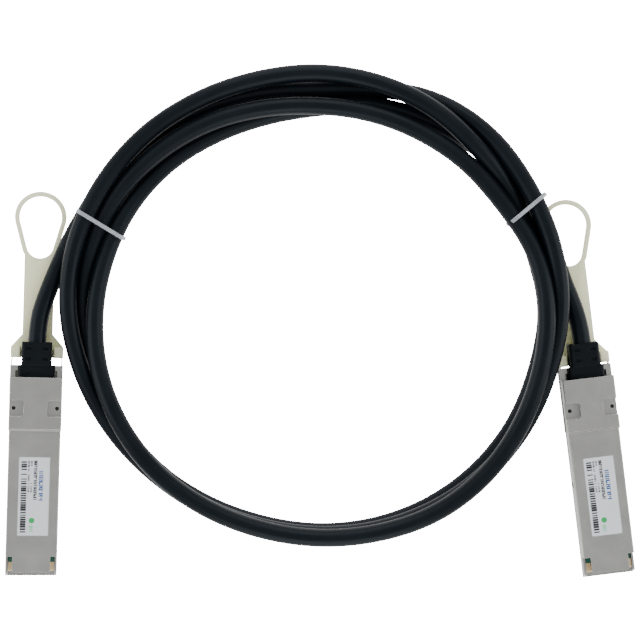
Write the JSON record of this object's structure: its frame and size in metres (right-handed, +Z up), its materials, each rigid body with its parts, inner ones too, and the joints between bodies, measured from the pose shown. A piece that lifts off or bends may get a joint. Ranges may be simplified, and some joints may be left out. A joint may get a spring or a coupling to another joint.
{
  "type": "direct attach copper cable",
  "caption": "Round black cable wound into a tied ring, with a pluggable metal connector, strain relief and beige pull tab at each end.",
  "frame": {"origin": "on the surface that it lies on, below the middle of the box round the two connectors with their pull tabs", "axes": "+X from one connector across the ring to the other, +Y from the noses to the pull tabs, +Z up"},
  "size_m": [0.2277, 0.1857, 0.0193],
  "materials": {
    "nickel_shell": "satin nickel plate",
    "steel_spring": "plain",
    "black_jacket": "slightly glossy extruded jacket",
    "black_boot": "matt moulded",
    "beige_strap": "soft moulded",
    "board": "solder mask",
    "gold_pads": "gold plate",
    "chips": "moulded",
    "potting": "hot melt",
    "pair_insulation": "foil",
    "ferrule_brass": "crimped",
    "label_film": "printed film",
    "nylon_tie": "translucent nylon"
  },
  "bodies": {
    "plugs_and_cable": {"bottom_shell_a": "nickel_shell", "top_shell_a": "nickel_shell", "paddle_card_a": "board", "contact_pads_a": "gold_pads", "card_parts_a": "chips", "twinax_pairs_a": "pair_insulation", "potting_block_a": "potting", "crimp_ferrule_a": "ferrule_brass", "cable_boot_a": "black_boot", "return_springs_a": "steel_spring", "shell_screws_a": "steel_spring", "label_a": "label_film", "bottom_shell_b": "nickel_shell", "top_shell_b": "nickel_shell", "paddle_card_b": "board", "contact_pads_b": "gold_pads", "card_parts_b": "chips", "twinax_pairs_b": "pair_insulation", "potting_block_b": "potting", "crimp_ferrule_b": "ferrule_brass", "cable_boot_b": "black_boot", "return_springs_b": "steel_spring", "shell_screws_b": "steel_spring", "label_b": "label_film", "cable_coil": "black_jacket", "cable_lead_a": "black_jacket", "cable_lead_b": "black_jacket", "tie_a": "nylon_tie", "tie_b": "nylon_tie"},
    "release_a": {"release_slider_a": "steel_spring", "pull_tab_a": "beige_strap"},
    "release_b": {"release_slider_b": "steel_spring", "pull_tab_b": "beige_strap"}
  },
  "joints": [
    {"name": "tab_release_a", "type": "slide", "parent": "plugs_and_cable", "child": "release_a", "axis": [0.0279, 0.9996, 0], "range_m": [-0.0021, 0.0004], "stiffness_N_per_m": 900, "springref_m": -0.0029, "deforming": ["return_springs_a"]},
    {"name": "tab_release_b", "type": "slide", "parent": "plugs_and_cable", "child": "release_b", "axis": [-0.1201, 0.9928, 0], "range_m": [0, 0.0025], "stiffness_N_per_m": 900, "springref_m": -0.0008, "deforming": ["return_springs_b"]}
  ]
}
